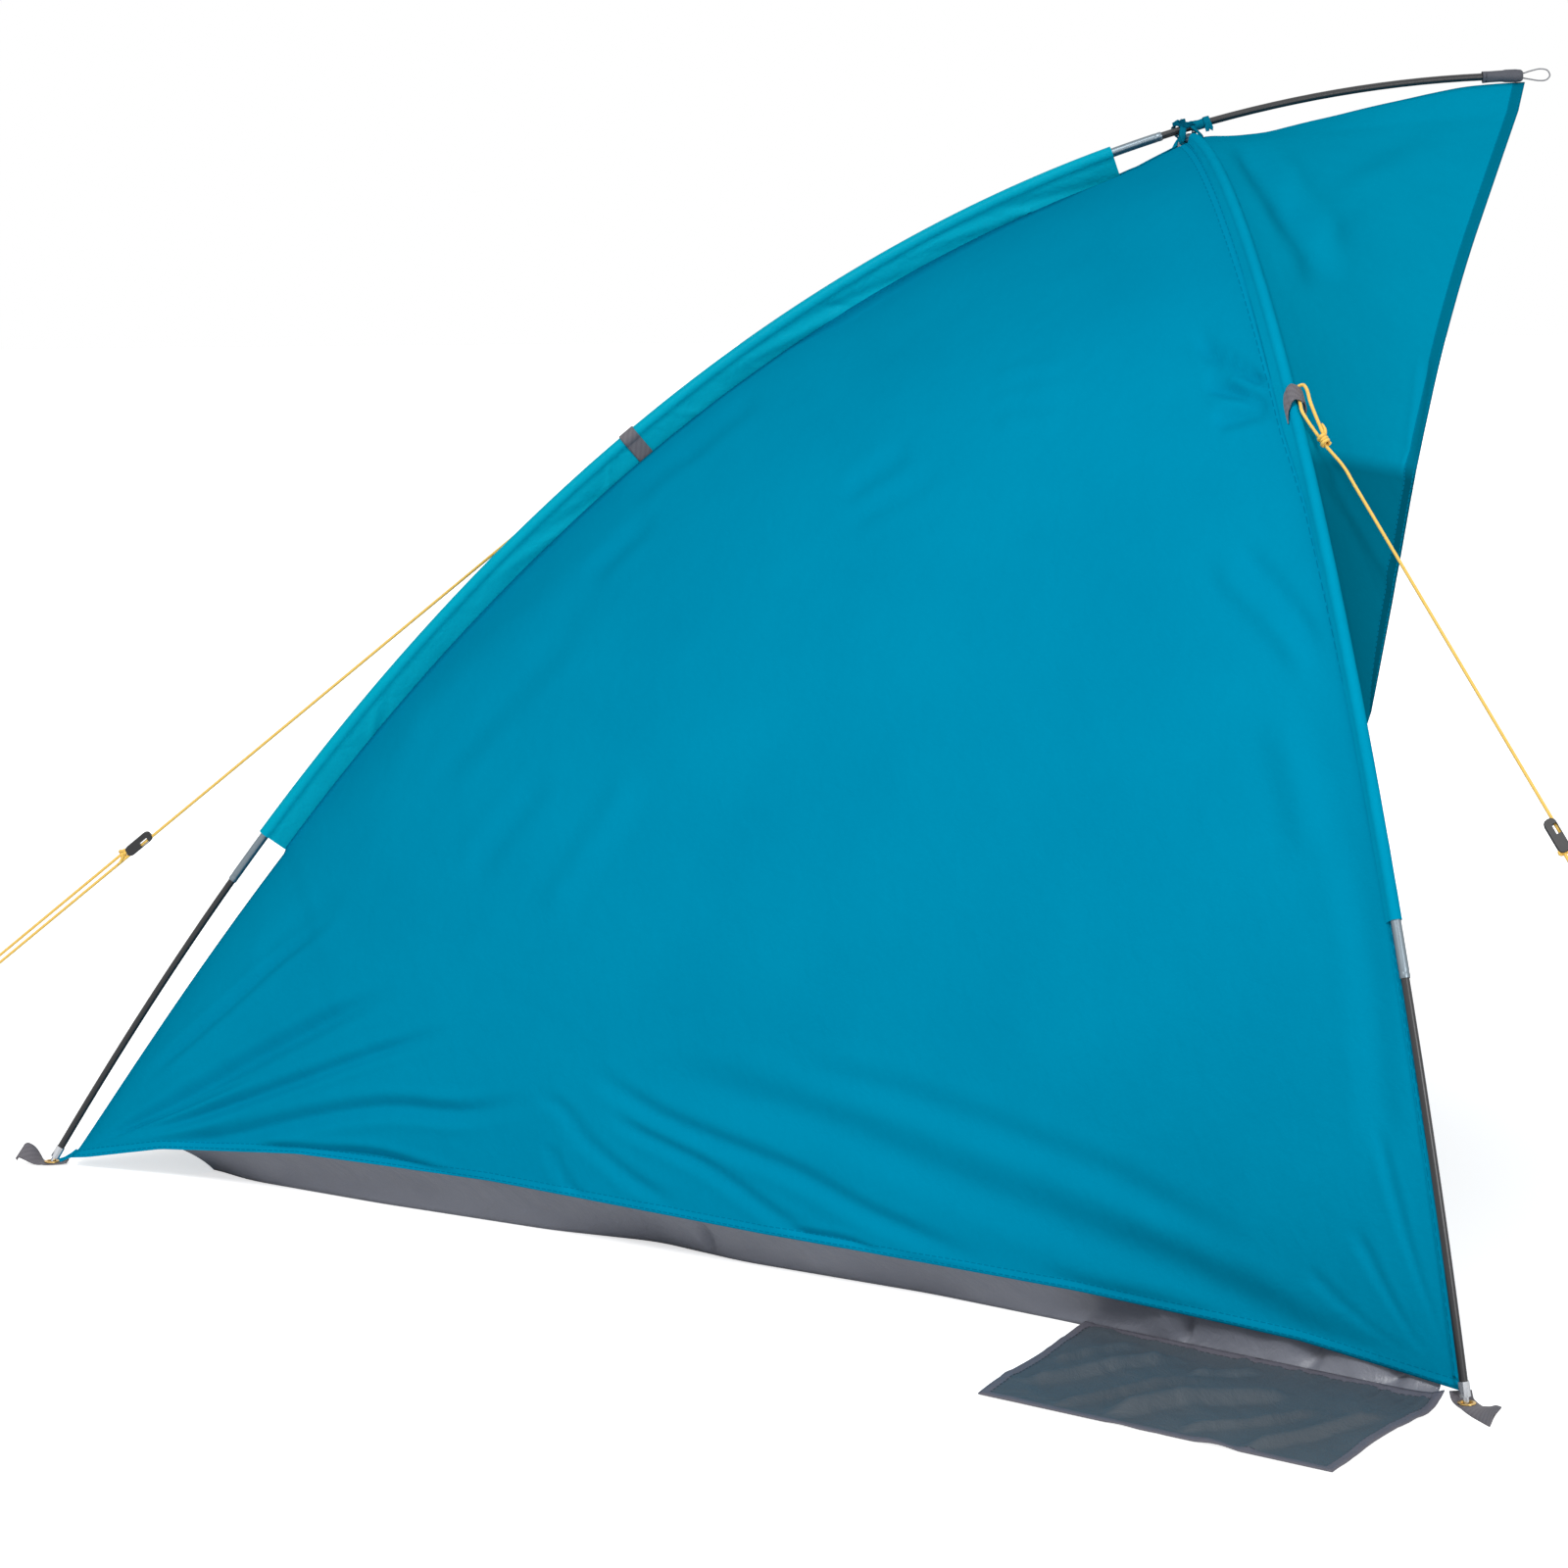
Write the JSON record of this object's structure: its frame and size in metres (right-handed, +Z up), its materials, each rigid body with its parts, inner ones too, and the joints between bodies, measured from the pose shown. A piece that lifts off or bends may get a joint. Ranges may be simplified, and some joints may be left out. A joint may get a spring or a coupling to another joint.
{
  "type": "beach tent",
  "caption": "Open-fronted beach shelter: a leaning arch pole and a ridge pole in fabric sleeves carry side panels and an awning over a low-walled groundsheet, with guy lines and sand flaps.",
  "frame": {"origin": "middle of the tent's footprint box on the ground, guy lines left out", "axes": "+X along the line of the two front feet towards the far side, +Y from the open front to the rear foot, +Z up"},
  "size_m": [2.6312, 2.2628, 1.2841],
  "materials": {
    "rod": "black fibreglass tube, satin",
    "ferrule": "plated steel tube",
    "elastic": "braided elastic cord",
    "steel_end": "plated steel",
    "shelter_fabric": "coated teal polyester, slight sheen",
    "ground_fabric": "coated dark grey groundsheet fabric",
    "webbing": "dark grey woven webbing",
    "eyelet": "pressed brass",
    "ribbon": "teal ribbon",
    "thin_cord": "thin grey cord",
    "guy_cord": "braided yellow cord",
    "slider_plastic": "moulded black plastic"
  },
  "bodies": {
    "tent": {"ridge_rod_1": "rod", "ridge_rod_2": "rod", "ridge_rod_3": "rod", "ridge_rod_4": "rod", "ridge_rod_5": "rod", "ridge_ferrule_1": "ferrule", "ridge_ferrule_2": "ferrule", "ridge_ferrule_3": "ferrule", "ridge_ferrule_4": "ferrule", "arch_rod_1": "rod", "arch_rod_2": "rod", "arch_rod_3": "rod", "arch_rod_4": "rod", "arch_rod_5": "rod", "arch_rod_6": "rod", "arch_rod_7": "rod", "arch_rod_8": "rod", "arch_ferrule_1": "ferrule", "arch_ferrule_2": "ferrule", "arch_ferrule_3": "ferrule", "arch_ferrule_4": "ferrule", "arch_ferrule_5": "ferrule", "arch_ferrule_6": "ferrule", "arch_ferrule_7": "ferrule", "ridge_elastic_cord": "elastic", "arch_elastic_cord": "elastic", "ridge_end_rear": "steel_end", "ridge_end_front": "steel_end", "arch_end_near": "steel_end", "arch_end_far": "steel_end", "side_panel_near": "shelter_fabric", "side_panel_far": "shelter_fabric", "awning": "shelter_fabric", "ridge_sleeve": "shelter_fabric", "arch_sleeve_near": "shelter_fabric", "arch_sleeve_far": "shelter_fabric", "groundsheet": "ground_fabric", "foot_tab_rear": "webbing", "foot_tab_near": "webbing", "foot_tab_far": "webbing", "eyelet_rear": "eyelet", "eyelet_near": "eyelet", "eyelet_far": "eyelet", "ridge_band": "webbing", "arch_tab_near": "webbing", "arch_tab_far": "webbing", "apex_ribbon_1": "ribbon", "apex_ribbon_2": "ribbon", "awning_tie": "ribbon", "tip_pocket": "webbing", "tip_loop": "thin_cord", "guy_line_near": "guy_cord", "guy_line_far": "guy_cord", "guy_line_rear": "guy_cord"},
    "slider_near_body": {"slider_near": "slider_plastic"},
    "slider_far_body": {"slider_far": "slider_plastic"},
    "slider_rear_body": {"slider_rear": "slider_plastic"},
    "flap_near_body": {"sand_flap_near": "ground_fabric"},
    "flap_far_body": {"sand_flap_far": "ground_fabric"}
  },
  "joints": [
    {"name": "slide_near", "type": "slide", "parent": "tent", "child": "slider_near_body", "axis": [0.4757, 0.4149, 0.7756], "range_m": [-0.2, 0.35]},
    {"name": "slide_far", "type": "slide", "parent": "tent", "child": "slider_far_body", "axis": [-0.4982, 0.3034, 0.8122], "range_m": [-0.2, 0.35]},
    {"name": "slide_rear", "type": "slide", "parent": "tent", "child": "slider_rear_body", "axis": [-0.051, -0.7756, 0.6292], "range_m": [-0.2, 0.5]},
    {"name": "flap_near", "type": "hinge", "parent": "tent", "child": "flap_near_body", "pos_m": [-0.95346, -0.45272, 0.0006], "axis": [0.699, 0.7151, 0], "range_deg": [0, 55]},
    {"name": "flap_far", "type": "hinge", "parent": "tent", "child": "flap_far_body", "pos_m": [0.95346, -0.45272, 0.0006], "axis": [0.699, -0.7151, 0], "range_deg": [0, 55]}
  ]
}
